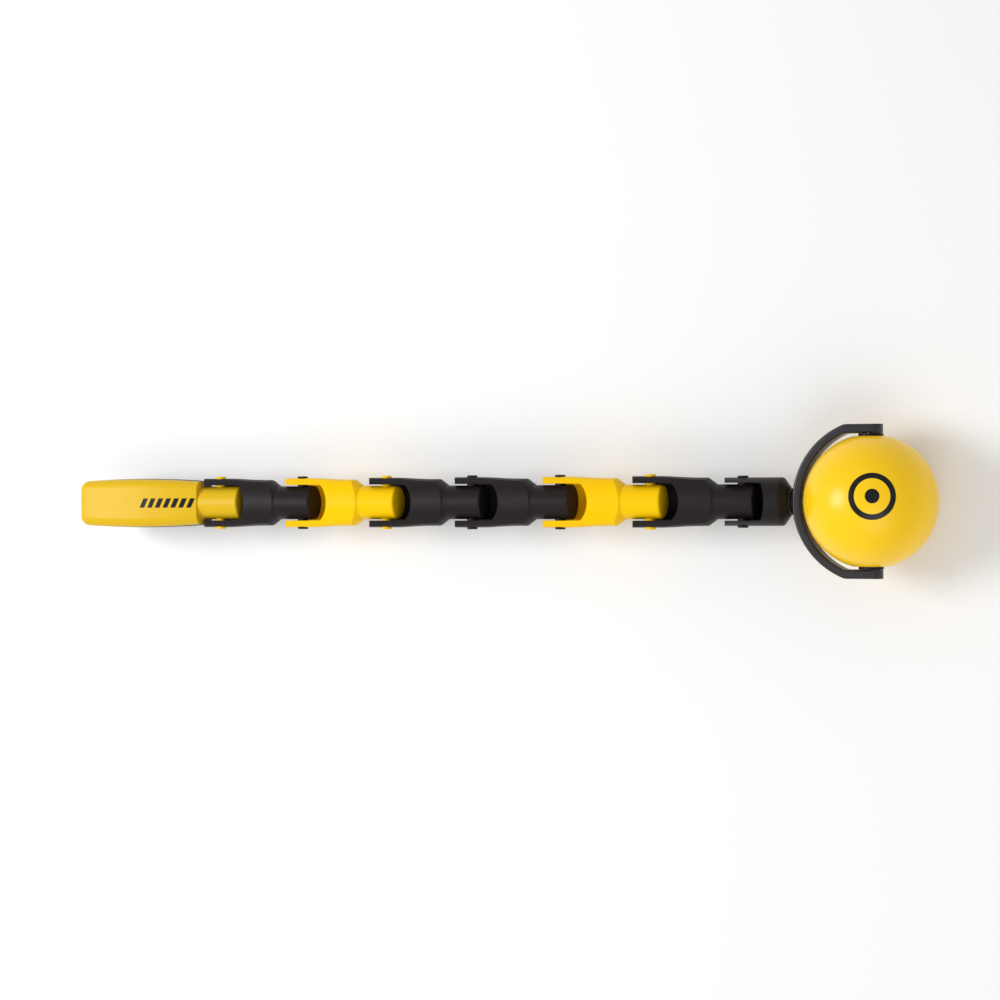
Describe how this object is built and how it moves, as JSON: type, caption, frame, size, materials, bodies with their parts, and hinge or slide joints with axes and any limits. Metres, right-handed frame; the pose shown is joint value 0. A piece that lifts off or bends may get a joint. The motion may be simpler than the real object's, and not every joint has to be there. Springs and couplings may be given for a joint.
{
  "type": "articulated massage roller stick",
  "caption": "Hand-held massage roller: a handle, a one-way hinged chain of round links and a ball that spins in a swivelling yoke.",
  "frame": {"origin": "centre of the flat butt face of the handle, on the arm's centre line", "axes": "+X along the straight arm towards the ball, Y along the hinge pins and the ball's axle, +Z towards the open side of the forks"},
  "size_m": [0.4497, 0.0728, 0.0636],
  "materials": {
    "handle_yellow": "satin moulded plastic, warm yellow",
    "grip_black": "dark soft-touch rear grip",
    "link_yellow": "moulded plastic, bright yellow",
    "link_black": "moulded glass-filled nylon, black",
    "yoke_black": "satin moulded nylon, bluish black",
    "ball_yellow": "smooth moulded ball, bright yellow, one dark printed mark",
    "steel": "plated steel"
  },
  "bodies": {
    "handle": {"handle_front_shell": "handle_yellow", "handle_rear_cover": "grip_black", "handle_cover_screws": "steel", "hinge_pin_1": "link_yellow"},
    "link_1_body": {"link_1": "link_black", "hinge_pin_2": "link_black"},
    "link_2_body": {"link_2": "link_yellow", "hinge_pin_3": "link_yellow"},
    "link_3_body": {"link_3": "link_black", "hinge_pin_4": "link_black"},
    "link_4_body": {"link_4": "link_black", "hinge_pin_5": "link_black"},
    "link_5_body": {"link_5": "link_yellow", "hinge_pin_6": "link_yellow"},
    "link_6_body": {"link_6": "link_black", "hinge_pin_7": "link_black"},
    "end_body": {"end_link": "link_black", "swivel_inner_washer": "steel", "swivel_outer_washer": "link_black"},
    "yoke_body": {"swivel_screw": "steel", "yoke": "yoke_black", "axle": "steel", "axle_screw_upper": "steel", "axle_screw_lower": "steel"},
    "ball_body": {"ball": "ball_yellow", "axle_bush_upper": "link_black", "axle_bush_lower": "link_black"}
  },
  "joints": [
    {"name": "hinge_1", "type": "hinge", "parent": "handle", "child": "link_1_body", "pos_m": [0.077, 0, 0], "axis": [0, 1, 0], "range_deg": [0, 30]},
    {"name": "hinge_2", "type": "hinge", "parent": "link_1_body", "child": "link_2_body", "pos_m": [0.1234, 0, 0], "axis": [0, 1, 0], "range_deg": [0, 30]},
    {"name": "hinge_3", "type": "hinge", "parent": "link_2_body", "child": "link_3_body", "pos_m": [0.1698, 0, 0], "axis": [0, 1, 0], "range_deg": [0, 30]},
    {"name": "hinge_4", "type": "hinge", "parent": "link_3_body", "child": "link_4_body", "pos_m": [0.2162, 0, 0], "axis": [0, 1, 0], "range_deg": [0, 30]},
    {"name": "hinge_5", "type": "hinge", "parent": "link_4_body", "child": "link_5_body", "pos_m": [0.2626, 0, 0], "axis": [0, 1, 0], "range_deg": [0, 30]},
    {"name": "hinge_6", "type": "hinge", "parent": "link_5_body", "child": "link_6_body", "pos_m": [0.309, 0, 0], "axis": [0, 1, 0], "range_deg": [0, 30]},
    {"name": "hinge_7", "type": "hinge", "parent": "link_6_body", "child": "end_body", "pos_m": [0.3554, 0, 0], "axis": [0, 1, 0], "range_deg": [0, 30]},
    {"name": "yoke_swivel", "type": "hinge", "parent": "end_body", "child": "yoke_body", "pos_m": [0.3786, 0, 0], "axis": [1, 0, 0], "continuous": true},
    {"name": "ball_spin", "type": "hinge", "parent": "yoke_body", "child": "ball_body", "pos_m": [0.4177, 0, 0], "axis": [0, 1, 0], "continuous": true}
  ]
}
